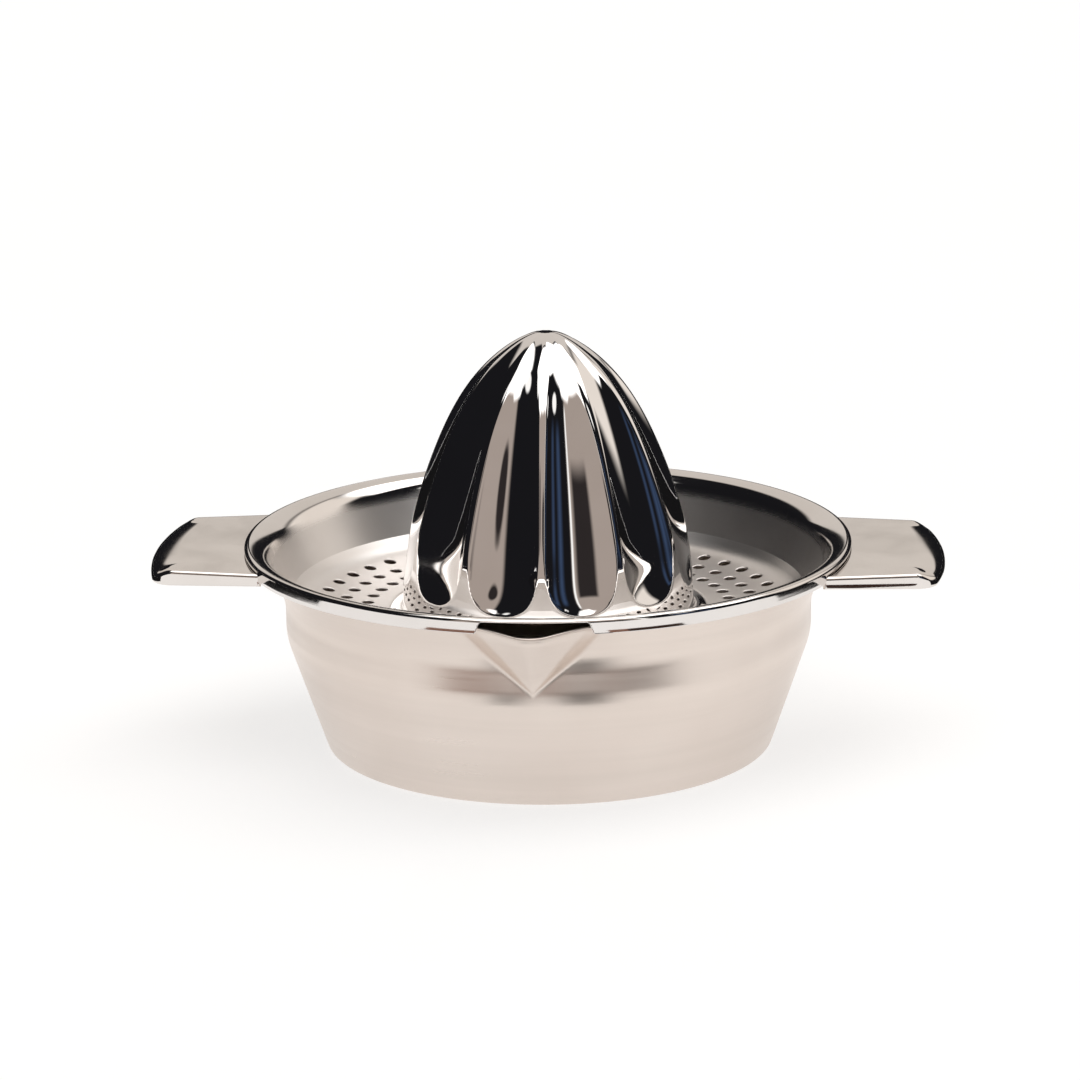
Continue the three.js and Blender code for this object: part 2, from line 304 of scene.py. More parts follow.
def polished_steel(name, tint=(0.80, 0.77, 0.75), rough=(0.03, 0.07), streak=0.05, satin=None):
    m = Mat(name)
    b = m.bsdf
    b.inputs["Metallic"].default_value = 1.0
    pos = m.position()
    smudge = m.noise(pos, 60.0, 4.0, 0.55, 0.4)
    wrapped, r, z = m.round_coords(0.9, 700.0, 700.0)
    lines = m.noise(wrapped, 1.0, 4.0, 0.6)
    scr = m.noise(pos, 900.0, 2.0, 0.5, 1.2)
    c = m.mixrgb(m.remap(smudge, 0.35, 0.75, 0.0, 1.0), rgb(*tint), rgb(tint[0] * 0.94, tint[1] * 0.93, tint[2] * 0.92))
    m.link(c, b.inputs["Base Color"])
    ro = m.math("ADD", m.remap(smudge, 0.35, 0.75, rough[0], rough[1]), m.remap(scr, 0.55, 0.8, 0.0, 0.02))
    if satin:
        # inside this radius the sheet is brushed instead of polished
        ro = m.math("MAXIMUM", ro, m.remap(r, satin[0], satin[1], satin[2], 0.0))
    m.link(ro, b.inputs["Roughness"])
    m.link(m.bump(lines, streak, 0.00002), b.inputs["Normal"])
    return m.m


bowl_mat = satin_steel("bowl_satin_steel")
tray_mat = polished_steel("tray_polished_steel", (0.80, 0.77, 0.75), (0.06, 0.10), 0.2, (0.0622, 0.0638, 0.34))
reamer_mat = polished_steel("reamer_mirror_steel", (0.84, 0.82, 0.81), (0.015, 0.045), 0.03)
handle_mat = polished_steel("handle_polished_steel", (0.80, 0.76, 0.73), (0.05, 0.10), 0.06)


# ------------------------------------------------------------------ reamer
FLUTES = 11
HALF = PI / FLUTES
BETA = math.radians(28.0)
RUN_TOP, RUN_END = 8.0, -10.0
ENV = [19.60020418839004, 1.2147775280922284, -0.08644511021854721,
       0.0026982820946835837, -4.0517335130597215e-05, 2.3353362510469822e-07]
TIP = 47.6
PHASE = math.radians(0.8)


def reamer_profile():
    """(radius, height) down the ridges, from the tip to the rim of the foot."""
    h = np.concatenate([[0], np.geomspace(0.02, 58.0, 400)])
    hh = np.minimum(h, 52.0)
    q = sum(c * hh ** (k + 1) for k, c in enumerate(ENV))
    sl = sum((k + 1) * c * 52.0**k for k, c in enumerate(ENV))
    q = q + np.maximum(h - 52.0, 0) * sl
    r = np.sqrt(np.maximum(q, 0))
    z = 47.72 + 0.11 * np.exp(-h / 2) - h
    foot = 33.02 + 0.03 * (-z - 10)
    r = smin(r, foot, 1.6)
    z = smin(z, np.full_like(z, TIP), 0.16)
    p = np.stack([r, z], 1)
    keep = z > -13.6
    p = p[keep]
    # foot: fillet to the tray's floor
    foot = rounded([(33.13, -13.6, 0), (33.2, -16.62, 2.6), (36.24, -16.62, 0)], 14)[1:]
    return np.concatenate([p, foot])


def resample(p, weight):
    """Points spaced along the polyline by the spacing function weight(r, z)."""
    d = np.linalg.norm(np.diff(p, axis=0), axis=1)
    mid = (p[1:] + p[:-1]) / 2
    w = d / np.array([weight(r, z) for r, z in mid])
    t = np.concatenate([[0], np.cumsum(w)])
    n = int(round(t[-1])) + 1
    q = np.linspace(0, t[-1], n)
    return np.stack([np.interp(q, t, p[:, 0]), np.interp(q, t, p[:, 1])], 1)


def crest(R, z):
    """Radius of the rounded ridges."""
    return min(float(np.interp(z, [12, 20, 28, 36, 44], [1.5, 1.6, 1.75, 2.0, 2.2])), float(np.interp(z, [38, 45], [0.22, 0.13])) * R)


def flute(R, z, az):
    """Radius of the fluted surface where the ridges have radius R."""
    a = az - HALF
    a = a - np.round(a / (2 * HALF)) * 2 * HALF
    th = HALF + BETA
    rr = crest(R, z)
    Rs = R + rr * (1 / math.cos(th) - 1)
    rho = Rs * math.sin(HALF) / math.sin(BETA)
    full = Rs * math.cos(HALF) - rho * (1 - math.cos(BETA))
    mid = full
    if z < RUN_TOP:
        q = 1 - max(0.0, (z - RUN_END) / (RUN_TOP - RUN_END))
        mid = R - (R - full) * (1 - 0.75 * q**6 - 0.25 * q**2)
    c = mid + rho
    hollow = c * np.cos(a) - np.sqrt(np.maximum(rho * rho - (c * np.sin(a)) ** 2, 0))
    t = R * (HALF - np.abs(a))
    cut = rr / math.cos(th) - math.tan(th) * t - np.sqrt(np.maximum(rr * rr - t * t, 0))
    hollow = hollow - np.where(t < rr * math.sin(th), cut, 0)
    if z < RUN_END - 0.6:
        return np.full_like(az, R)
    if z < RUN_TOP:
        return smin(np.full_like(az, R), hollow, 0.3 * float(np.clip((-5.6 - z) / 2.0, 0, 1)) + 1e-6)
    return np.minimum(R, hollow)


def make_reamer():
    s = Shell()
    per = 42
    u = np.linspace(0, 1, per, endpoint=False)
    # columns crowd towards the ridges
    w = u - 0.62 * np.sin(TAU * u) / TAU
    az = np.concatenate([(k + w) * 2 * HALF for k in range(FLUTES)])
    prof = resample(
        reamer_profile(),
        lambda r, z: 0.22 if z > 46 else 0.5 if z > 40 else 1.0 if z > -2 else 0.5 if z > -5 else 0.2 if z > -10.6 else 0.7 if z > -14 else 0.3,
    )[::-1]
    ph = az + PHASE
    outer = []
    for r, z in prof:
        if r < 0.02:
            continue
        outer.append(polar(flute(r, z, az) if r > 0.4 else r, z, ph))
    first = prof[0]
    # inner face: the same outline drawn in by the sheet
    t = np.gradient(prof, axis=0)
    t /= np.linalg.norm(t, axis=1)[:, None]
    inner = []
    az2 = az
    for (r, z), (tr, tz) in list(zip(prof, t))[::-1]:
        if r < 3.0:
            continue
        R = flute(r, z, az2) if z > -14 else np.full_like(az2, r)
        inner.append(polar(np.maximum(R - 0.6 * abs(tz), 0.5), z - 0.6 * abs(tr), ph))
    inner = inner[::3] + ([inner[-1]] if (len(inner) - 1) % 3 else [])
    idx = s.loops(outer)
    s.fan(idx[-1], (0, 0, TIP + RIM))
    idx2 = s.loops(inner)
    s.fan(idx2[0], (0, 0, TIP - 0.6 + RIM), flip=True)
    # bottom edge
    edge = s.add(polar(first[0] + 0.04, first[1] - 0.3, ph))
    s.bridge(idx2[-1], edge)
    s.bridge(edge, idx[0])
    ob = s.build("reamer", reamer_mat)
    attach(ob, "strainer")
    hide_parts("reamer_dome")
    return ob


# ------------------------------------------------------------------ strainer tray
N1 = 384
SHEET_T = 0.5
DISH = spline(
    [(36.3, -16.6), (39.5, -16.58), (43.0, -16.47), (46.5, -16.34), (50, -16.06), (52.5, -15.69),
     (54.3, -15.24), (55.8, -14.54), (57.0, -13.6), (58.0, -12.5)], 160)


def dish(r):
    return np.interp(r, DISH[:, 0], DISH[:, 1])


SHOULDER = np.concatenate([
    arc(68.2, -5.5, 5.5, 91.5, 152, 26),
    np.linspace((63.34, -2.92), (58.74, -11.57), 12)[1:]])
HOLES = [(52.5, 0.5), (47.3, 0.0), (41.7, 0.5)]
BANDS = [55.3, 49.9, 44.5, 38.9]
HOLE_R = 1.4


def make_tray():
    s = Shell()
    az = np.arange(N1) * TAU / N1
    cell = N1 // 48

    def tr(r, z, a):
        return polar(r, z, a)

    # --- outer ring, skirt and notches: their own columns
    R_O, R_I, DROP = 69.0, 68.4, 3.44
    ends = []                      # (arc position of the notch's end, which way the notch lies, notch height)
    a_sp = math.asin(11.85 / R_O)
    turn = 0.0145                 # the insert sits slightly turned in the bowl
    a_h = PI / 2 - math.asin(27.4 / R_O)
    a_h2 = PI / 2 + math.asin(27.4 / R_O)
    marks = [(a_sp + turn, -1, -0.8, 0.28), (a_h, 1, -1.6, 0.0), (a_h2, -1, -1.6, 0.0),
             (TAU - a_h2, 1, -1.6, 0.0), (TAU - a_h, -1, -1.6, 0.0), (TAU - a_sp + turn, 1, -0.8, 0.28)]

    cols, cont, nrm = [], [], []
    span = 1.5 / R_O               # half of the arc given to one notch end
    nk = 22
    for a0, side, top, slant in marks:
        # contour from the full skirt to the notch, drawn with rounded corners
        base = rounded([(-2.4, -DROP, 0), (-0.45 - slant * 1.6, -DROP, 0.7), (0.12, top, 0.7), (2.4, top, 0)], 10)
        base = base[(base[:, 0] >= -1.6) & (base[:, 0] <= 1.6)]
        d = np.concatenate([[0], np.cumsum(np.linalg.norm(np.diff(base, axis=0), axis=1))])
        q = np.linspace(0, d[-1], nk)
        bx, bz = np.interp(q, d, base[:, 0]), np.interp(q, d, base[:, 1])
        tx, tz = np.gradient(bx), np.gradient(bz)
        ln = np.hypot(tx, tz)
        nx, nz = tz / ln, -tx / ln          # out of the metal: down and into the notch
        top_x = np.linspace(bx[0], bx[-1], nk)
        ca = a0 + side * top_x / R_O
        cb = a0 + side * bx / R_O
        rec = list(zip(ca, cb, bz, side * nx, nz))
        if side < 0:
            rec = rec[::-1]
        cols.append(rec)
    recs = []
    full = lambda a: (a, a, -DROP, 0.0, -1.0)
    for k in range(len(marks)):
        recs += cols[k]
        a0, side, top, _ = marks[k]
        nxt = marks[(k + 1) % len(marks)]
        start = cols[k][-1][0]
        stop = cols[(k + 1) % len(marks)][0][0]
        if stop < start:
            stop += TAU
        zz = top if side > 0 else -DROP
        n = max(2, int((stop - start) / (TAU / 420)))
        for i in range(1, n):
            a = start + (stop - start) * i / n
            recs.append((a, a, zz, 0.0, -1.0))
    rec = np.array(recs)
    order = np.argsort(rec[:, 0] % TAU)
    rec = rec[order]
    sh = np.where(rec[:, 0] > TAU, TAU, 0.0)
    ta = rec[:, 0] - sh
    ba = rec[:, 1] - sh
    bz, nx, nz = rec[:, 2], rec[:, 3], rec[:, 4]

    def skirt(r, f, off=None):
        """Points on the skirt at share f from its top (0) to its lower edge (1),
        or at `off` outside the lower edge's outline."""
        if off is None:
            a = ta + (ba - ta) * f
            z = -0.62 + (bz + 0.28 * -nz + 0.62) * f
            return polar(r, z, a)
        return polar(r, bz + nz * off, ba + nx * off / R_O)

    loops = []
    # outside of the skirt, upwards
    for r, off in ((R_I + 0.3, 0.0), (R_O - 0.09, -0.03), (R_O - 0.02, -0.12), (R_O, -0.25)):
        loops.append(skirt(r, 1, off))
    BEND = 1.0
    zb = np.minimum(bz - nz * 0.25 + 0.02, -0.7)
    for f in (0.66, 0.33, 0.0):
        a = ta + (ba - ta) * f
        z = np.where(zb > -BEND, zb, -BEND + (zb + BEND) * f)
        loops.append(polar(R_O - BEND + np.sqrt(BEND**2 - np.maximum(z + BEND, 0) ** 2), z, a))
    q0 = np.arcsin(np.clip(1 + zb / BEND, 0, 1))
    for q in np.radians([8, 20, 32, 44, 56, 68, 80, 90]):
        qq = q0 + (PI / 2 - q0) * q / (PI / 2)
        loops.append(polar(R_O - BEND + BEND * np.cos(qq), -BEND + BEND * np.sin(qq), ta))
    top_idx = s.loops(loops)
    # --- shoulder, wall and dish: even columns
    upper = SHOULDER
    wall = rounded([tuple(upper[-1]) + (0,), (58.5, -12.02, 0.5), (57.0, -13.6, 0)], 6)
    prof = np.concatenate([upper, wall[1:-1]])
    for r in np.linspace(57.6, BANDS[0], 9)[:-1]:
        if r < prof[-1][0] - 0.1:
            prof = np.concatenate([prof, [[r, dish(r)]]])
    main = [tr(r, z, az) for r, z in prof]
    idx = s.loops(main)
    s.stitch(top_idx[-1], ta, idx[0], az)

    # --- perforated floor: each hole has its own square of cells
    def floor(side_down, edge_first, edge_last):
        """Adds one face of the perforated band. edge_first and edge_last are the
        loops it joins; returns the holes' own loops."""
        dz = -SHEET_T if side_down else 0.0
        bands = [edge_first]
        for r in BANDS[1:-1]:
            bands.append(s.add(tr(r, dish(r) + dz, az)))
        bands.append(edge_last)
        rims = []
        for j, (rc, phase) in enumerate(HOLES):
            r_out, r_in = BANDS[j], BANDS[j + 1]
            off = int(round(phase * cell))  # columns from the cell's middle to the grid
            starts = [(m * cell + (0 if phase else -cell // 2)) % N1 for m in range(48)]
            frac = np.arange(1, cell) / cell
            sides = {}
            for c in starts:
                rr = r_out + (r_in - r_out) * frac
                a = np.full(len(rr), az[c])
                sides[c] = s.add(polar(rr, dish(rr) + dz, a))
            for m, c in enumerate(starts):
                c2 = (c + cell) % N1
                left, right = sides[c], sides[c2]
                lo = [(c + k) % N1 for k in range(cell + 1)]
                loop = np.concatenate([
                    [bands[j + 1][c]], left[::-1], bands[j][lo], right, bands[j + 1][lo[::-1]][:-1]])
                # local directions of the 32 points of the boundary
                hu = np.concatenate([
                    [-1], np.full(cell - 1, -1), np.linspace(-1, 1, cell + 1), np.full(cell - 1, 1), np.linspace(1, -1, cell + 1)[:-1]])
                hv = np.concatenate([
                    [-1], np.linspace(-1, 1, cell + 1)[1:-1], np.full(cell + 1, 1), np.linspace(1, -1, cell + 1)[1:-1], np.full(cell + 1, -1)[:-1]])
                ac = az[c] + TAU / N1 * cell / 2
                ang = np.arctan2(hv, hu)
                ux, uy = np.array([math.cos(ac), math.sin(ac)]), np.array([math.sin(ac), -math.cos(ac)])
                cen = rc * uy

                def on(rad, dzz=0.0):
                    p = cen + rad * (np.cos(ang)[:, None] * ux + np.sin(ang)[:, None] * uy)
                    rr = np.hypot(p[:, 0], p[:, 1])
                    return np.column_stack([p, dish(rr) + dz + dzz + RIM])

                # boundary positions, for the blend
                hw = np.where(hv > 0, r_out, r_in)
                br = rc + np.where(hv >= 0, (r_out - rc) * hv, (rc - r_in) * hv)
                ba_ = ac + hu * TAU / N1 * cell / 2
                bp = np.stack([br * np.sin(ba_), -br * np.cos(ba_)], 1)

                def mix(t):
                    p0 = cen + 1.62 * (np.cos(ang)[:, None] * ux + np.sin(ang)[:, None] * uy)
                    p = p0 * (1 - t) + bp * t
                    rr = np.hypot(p[:, 0], p[:, 1])
                    return np.column_stack([p, dish(rr) + dz + RIM])

                if not side_down:
                    seq = [s.add(mix(0.62)), s.add(mix(0.28)), s.add(on(1.62)), s.add(on(1.52, -0.02)), s.add(on(1.44, -0.08)), s.add(on(HOLE_R, -0.2))]
                else:
                    seq = [s.add(mix(0.55)), s.add(on(1.6)), s.add(on(1.44, 0.0)), s.add(on(HOLE_R, 0.06))]
                chain = [loop] + seq
                for a_, b_ in zip(chain[:-1], chain[1:]):
                    if side_down:
                        s.bridge(b_, a_)
                    else:
                        s.bridge(a_, b_)
                rims.append(seq[-1])
        return rims

    b0 = s.add(tr(BANDS[0], dish(BANDS[0]), az))
    s.bridge(idx[-1], b0)
    b3 = s.add(tr(BANDS[3], dish(BANDS[3]), az))
    rims_top = floor(False, b0, b3)
    inner = [tr(r, dish(r), az) for r in (38.3, 37.6, 36.9, 36.45)]
    inner += [tr(36.32, dish(36.32) - 0.08, az), tr(36.3, dish(36.3) - 0.25, az), tr(36.34, dish(36.3) - SHEET_T, az)]
    inner += [tr(37.4, dish(37.4) - SHEET_T, az)]
    ii = s.loops(inner)
    s.bridge(b3, ii[0])
    u3 = s.add(tr(BANDS[3], dish(BANDS[3]) - SHEET_T, az))
    s.bridge(ii[-1], u3)
    u0 = s.add(tr(BANDS[0], dish(BANDS[0]) - SHEET_T, az))
    rims_low = floor(True, u0, u3)
    for a_, b_ in zip(rims_top, rims_low):
        s.bridge(a_, b_)
    # --- underside, outwards and up
    under = rounded([(BANDS[0], dish(BANDS[0]) - SHEET_T, 0), (57.35, -14.02, 1.0), (58.9, -12.4, 0.8), (59.1, -11.95, 0)], 4)[1:]
    tang = np.gradient(upper, axis=0)
    tang /= np.linalg.norm(tang, axis=1)[:, None]
    back_face = upper + 0.4 * np.stack([-tang[:, 1], tang[:, 0]], 1)
    prof2 = np.concatenate([under[:-1], back_face[-2::-2]])
    lo_idx = s.loops([tr(r, z, az) for r, z in prof2])
    s.bridge(u0, lo_idx[0])
    # --- under the ring and down the inside of the skirt
    back = [polar(68.2, -0.47, ta), polar(R_I - 0.1, -0.54, ta), polar(R_I - 0.02, -0.64, ta)]
    for f in (0.35, 0.7):
        zb = bz - nz * 0.2
        a = ta + (ba - ta) * f
        back.append(polar(R_I, -0.7 + (np.minimum(zb, -0.78) + 0.7) * f, a))
    for r, off in ((R_I, -0.2), (R_I + 0.03, -0.08)):
        back.append(skirt(r, 1, off))
    bidx = s.loops(back)
    s.stitch(lo_idx[-1], az, bidx[0], ta)
    s.bridge(bidx[-1], top_idx[0])
    ob = s.build("strainer", tray_mat)
    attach(ob, "strainer")
    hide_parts("strainer_tray")
    return ob


# ------------------------------------------------------------------ bowl
FLARE = [(59.9, -12.3, 12.0), (64.75, -3.2, 1.6), (67.0, -2.6, 0)]
FLARE_IN = [(59.3, -12.45, 12.6), (64.3, -2.95, 2.2), (67.0, -2.0, 0)]


def base_outer():
    """Bowl's outer outline up to the flange: (radius, height) upwards."""
    return rounded([(0, -RIM, 0), (50.85, -RIM, 1.6), (59.9, -21.2, 15.0)] + FLARE, 14)


SP_APEX, SP_W, SP_P = -18.8, 1.13, 0.766
BLEND = 3.0
REACH_U = np.linspace(0, 1, 201)
REACH = np.interp(REACH_U, [0, 0.11, 0.26, 0.45, 0.665, 0.85, 1], [1, 0.985, 0.895, 0.78, 0.655, 0.42, 0])
_k = np.hanning(41)
REACH = np.convolve(np.concatenate([REACH[40:0:-1], REACH, -REACH[-2:-42:-1]]), _k / _k.sum(), "same")[40:-40]
REACH -= REACH[-1]
REACH /= REACH[0]


def pouch(az, z, r0, shrink=0.0):
    """Radius of the spout's pressing at azimuth az and height z; it runs on below
    the wall's surface outside the spout so that the two can be blended."""
    h = z - SP_APEX - shrink * 0.4
    w = SP_W * h
    p = float(smin(np.array(SP_P * h), np.array(11.7), 1.6))
    lo = np.full_like(az, 50.0)
    hi = np.full_like(az, 80.0)
    ca, sa = np.cos(az), np.sin(az)
    for _ in range(34):
        r = (lo + hi) / 2
        x = np.abs(r * sa)
        f = np.maximum(-1.87 * (x - w), -6.0)
        if h > 0:
            f = np.where(x < w, p * np.interp(x / w, REACH_U, REACH), f)
        y = np.sqrt(np.maximum(r0 * r0 - x * x, 0)) + f
        out = r * ca > y
        hi = np.where(out, r, hi)
        lo = np.where(out, lo, r)
    return np.where(np.abs(az) < 0.6, (lo + hi) / 2, 0.0)


def make_bowl():
    s = Shell()
    d = math.radians(0.32)
    n_in = 124
    fine = (np.arange(n_in + 1) - n_in / 2) * d
    a_end = fine[-1]
    n_out = 330
    rest = a_end + (TAU - 2 * a_end) * np.arange(1, n_out) / n_out
    az = np.concatenate([fine, rest])
    azs = (az + PI) % TAU - PI

    top_r = pouch(azs, -2.6, 59.9)
    xe = np.abs(np.maximum(top_r, 68) * np.sin(azs))
    drop = 1.3 * np.interp(xe, [0, 1.2, 2.4, 3.6, 5.9, 7.1, 9.4, 12, 14], [1, 0.99, 0.96, 0.87, 0.6, 0.47, 0.24, 0.04, 0])
    drop = np.where(np.abs(azs) < 0.6, drop, 0.0)

    def lower(z):
        """Heights above the band are drawn down towards the spout's dipping lip."""
        t = np.clip((z + 12.0) / (12.0 - 2.6), 0, 1)
        return z - drop * t**2

    outer = base_outer()
    k = np.searchsorted(outer[:, 1], -22.6)
    low = outer[:k]
    low = resample(low[low[:, 0] > 6.0], lambda r, z: 6.0 if z < -47.5 and r < 48 else 0.35 if z < -45.5 else 2.4 if z < -25 else 0.6)
    loops = [polar(r, z, az) for r, z in low]
    up = outer[(outer[:, 1] > -22.5) & (outer[:, 0] < 66.1)]
    up = resample(up, lambda r, z: 0.3)
    for rr, z in up:
        r = smax(np.full_like(az, rr), pouch(azs, z, 59.9), BLEND)
        loops.append(polar(r, lower(z), az))
    # rim: underside, rolled edge, top
    edge = smax(np.full_like(az, 67.8), top_r + 0.5, 0.8)
    edge = np.minimum(edge, 72.12)
    r_last = np.minimum(smax(np.full_like(az, 66.1), top_r, 0.8), edge - 0.25)
    for f in (0.25, 0.55, 0.82):
        loops.append(polar(r_last + (edge - 0.3 - r_last) * f, -2.6 - drop, az))
    for q in (-90, -60, -30, 0, 30, 60, 90):
        loops.append(polar(edge - 0.3 + 0.3 * math.cos(math.radians(q)), -2.3 - drop + 0.3 * math.sin(math.radians(q)), az))
    # inside: down the roll, the band and the cone
    in_top = pouch(azs, -2.0, 59.3, 0.9)
    r_in_last = np.minimum(smax(np.full_like(az, 66.0), in_top, 0.8), edge - 0.6)
    for f in (0.75, 0.4, 0.12):
        loops.append(polar(r_in_last + (edge - 0.35 - r_in_last) * f, -2.0 - drop, az))
    inner = rounded([(0, -RIM + 0.6, 0), (50.35, -RIM + 0.6, 1.1), (59.3, -21.2, 14.6)] + FLARE_IN, 10)
    up = inner[(inner[:, 1] > -22.5) & (inner[:, 0] < 66.1)]
    up = resample(up, lambda r, z: 0.6)
    for rr, z in up[::-1]:
        r = smax(np.full_like(az, rr), pouch(azs, z, 59.3, 0.9), BLEND)
        loops.append(polar(r, lower(z), az))
    k = np.searchsorted(inner[:, 1], -22.7)
    low = inner[:k]
    low = resample(low[low[:, 0] > 6.0], lambda r, z: 8.0 if z < -46.9 and r < 48 else 0.4 if z < -45 else 3.2 if z < -25 else 0.9)
    for r, z in low[::-1]:
        loops.append(polar(r, z, az))
    idx = s.loops(loops)
    s.fan(idx[0], (0, 0, 0), flip=True)
    s.fan(idx[-1], (0, 0, 0.6))
    ob = s.build("bowl", bowl_mat)
    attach(ob, "bowl")
    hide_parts("juice_bowl")
    return ob


# ------------------------------------------------------------------ handles
def make_handle(name, node, turn):
    s = Shell()
    top = -1.95
    root, tip = 68.1, 90.15
    wr, wt = 26.8, 23.5
    xr = math.sqrt(root * root - wr * wr)
    # outline: root corner, side, rounded tip corner, tip arc, and back
    cr = 6.2
    pts = [(xr, -wr), (xr + 0.01, -wr)]
    xs, ys = 84.6, -wt
    a_side = math.atan2(ys + wr, xs - xr)
    # corner: side line to tip arc
    cy = -(wt - cr * 1.0)
    side_n = np.array([-math.sin(a_side), math.cos(a_side)])
    best = None
    for t in np.linspace(0, 30, 3001):
        base = np.array([xr, -wr]) + t * np.array([math.cos(a_side), math.sin(a_side)])
        c = base + side_n * cr
        if abs(np.linalg.norm(c) - (tip - cr)) < 0.01:
            best = (base, c)
            break
    base, c = best
    side = np.linspace(0, 1, 24)[:, None] * (base - np.array([xr, -wr])) + np.array([xr, -wr])
    a0 = math.atan2(*(base - c)[::-1])
    a1 = math.atan2(c[1], c[0])
    corner = np.array([c + cr * np.array([math.cos(q), math.sin(q)]) for q in np.linspace(a0, a1, 26)[1:]])
    tipa = math.atan2(c[1], c[0])
    tips = np.array([tip * np.array([math.cos(q), math.sin(q)]) for q in np.linspace(tipa, -tipa, 44)[1:-1]])
    half = np.concatenate([side, corner])
    line = np.concatenate([half, tips, (half * [1, -1])[::-1]])
    rooth = math.atan2(wr, xr)
    roots = np.array([root * np.array([math.cos(q), math.sin(q)]) for q in np.linspace(rooth, -rooth, 40)[2:-2]])
    n_vis = len(line)
    line = np.concatenate([line, roots])
    n = len(line)
    t = np.roll(line, -1, 0) - np.roll(line, 1, 0)
    t /= np.linalg.norm(t, axis=1)[:, None]
    nin = np.stack([-t[:, 1], t[:, 0]], 1)     # inward, for a counter-clockwise outline
    for k in (0, n_vis - 1):                   # square root corners
        nin[k] = [wr / xr, 1.0 if line[k][1] < 0 else -1.0]
    nin[n_vis:] = roots / np.linalg.norm(roots, axis=1)[:, None]
    # bend radius and lip depth round the outline
    x = line[:, 0]
    way = np.clip((x - 83.0) / (88.5 - 83.0), 0, 1)
    way = way * way * (3 - 2 * way)
    bend = 0.9 + (2.9 - 0.9) * way
    depth = 2.8 + (3.7 - 2.8) * np.clip((x - xr) / (89 - xr), 0, 1)
    isroot = np.zeros(n, bool)
    isroot[n_vis:] = True
    wide = bend + 3.0 * way
    wide[isroot] = 0.05
    bend[isroot] = 0.12
    depth[isroot] = 0.6

    def loop(inset, down):
        p = line + nin * inset[:, None]
        return np.column_stack([p, np.full(n, top) - down + RIM])

    th = 0.6
    th_v = np.where(isroot, 0.12, th)
    loops = []
    loops.append(loop(np.full(n, 0.3) * np.where(isroot, 0.3, 1), depth))
    loops.append(loop(np.full(n, 0.08) * np.where(isroot, 0.3, 1), depth - 0.04))
    loops.append(loop(np.zeros(n), depth - np.where(isroot, 0.2, 0.3)))
    for f in (0.5,):
        loops.append(loop(np.zeros(n), bend + (depth - np.where(isroot, 0.2, 0.3) - bend) * f))
    for q in np.radians([0, 10, 20, 30, 40, 50, 60, 68, 75, 82, 90]):
        loops.append(loop(wide * (1 - math.cos(q)), bend * (1 - math.sin(q))))
    loops.append(loop(wide + 0.12, np.zeros(n)))
    idx = s.loops(loops)
    s.f.append(idx[-1][None, :])
    # underside
    b2 = np.maximum(bend - th, 0.25)
    inn = []
    for q in np.radians([90, 68, 45, 22, 0]):
        ins = np.where(isroot, 0.12, th + b2 * (1 - math.cos(q)))
        dn = th + np.where(isroot, 0.0, b2 * (1 - math.sin(q)))
        inn.append(loop(ins, np.minimum(dn, depth - 0.05 + isroot * 0.05)))
    inn.append(loop(np.where(isroot, 0.12, th - 0.08), depth - np.where(isroot, 0, 0.06)))
    idx2 = s.loops(inn)
    s.f.append(idx2[0][::-1][None, :])
    s.bridge(idx2[-1], idx[0])
    if turn:
        for v in s.v:
            v[:, 0] *= -1
            v[:, 1] *= -1
    ob = s.build(name, handle_mat)
    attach(ob, "bowl")
    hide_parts(node)
    return ob


make_bowl()
make_handle("tab_right", "handle_right", False)
make_handle("tab_left", "handle_left", True)
make_tray()
make_reamer()


# ------------------------------------------------------------------ camera
def rot(v, axis, ang):
    return Matrix.Rotation(ang, 3, axis) @ v


CAM_D, CAM_E, CAM_F = 1038.95, 0.2626, 4564.28
PAN, TILT, ROLL, YAW = 0.0017, -0.0008, 0.0114, -0.0604
pos = Vector((0, -CAM_D * math.cos(CAM_E), CAM_D * math.sin(CAM_E)))
fwd = -pos.normalized()
right = Vector((1, 0, 0))
up = right.cross(fwd)
fwd, right = rot(fwd, up, PAN), rot(right, up, PAN)
fwd, up = rot(fwd, right, TILT), rot(up, right, TILT)
right, up = rot(right, fwd, ROLL), rot(up, fwd, ROLL)


def to_object(v):
    c, q = math.cos(YAW), math.sin(YAW)
    return Vector((v.x * c + v.y * q, -v.x * q + v.y * c, v.z))


cam_data = bpy.data.cameras.new("camera")
cam_data.sensor_fit = "HORIZONTAL"
cam_data.sensor_width = 36.0
cam_data.lens = CAM_F / 1080.0 * 36.0
cam_data.clip_start, cam_data.clip_end = 0.05, 60.0
cam = bpy.data.objects.new("camera", cam_data)
bpy.context.scene.collection.objects.link(cam)
rm = Matrix((to_object(right), to_object(up), to_object(-fwd))).transposed()
cam.matrix_world = Matrix.Translation((to_object(pos) + Vector((0, 0, RIM))) * MM) @ rm.to_4x4()
bpy.context.scene.camera = cam


# ------------------------------------------------------------------ floor
fm = Mat("floor_paper")
fm.bsdf.inputs["Roughness"].default_value = 0.85
fm.bsdf.inputs["Specular IOR Level"].default_value = 0.2
fn = fm.noise(fm.position(), 3.0, 2.0)
fm.link(fm.mixrgb(fm.remap(fn, 0.3, 0.7, 0, 1), rgb(0.335, 0.333, 0.33), rgb(0.35, 0.348, 0.345)), fm.bsdf.inputs["Base Color"])
fm.bsdf.inputs["Emission Color"].default_value = rgb(1.0, 0.995, 0.99)
fm.bsdf.inputs["Emission Strength"].default_value = 0.73
me = bpy.data.meshes.new("floor")
me.from_pydata([(-9, -9, -0.0002), (9, -9, -0.0002), (9, 9, -0.0002), (-9, 9, -0.0002)], [], [(0, 1, 2, 3)])
me.materials.append(fm.m)
floor = bpy.data.objects.new("floor", me)
bpy.context.scene.collection.objects.link(floor)

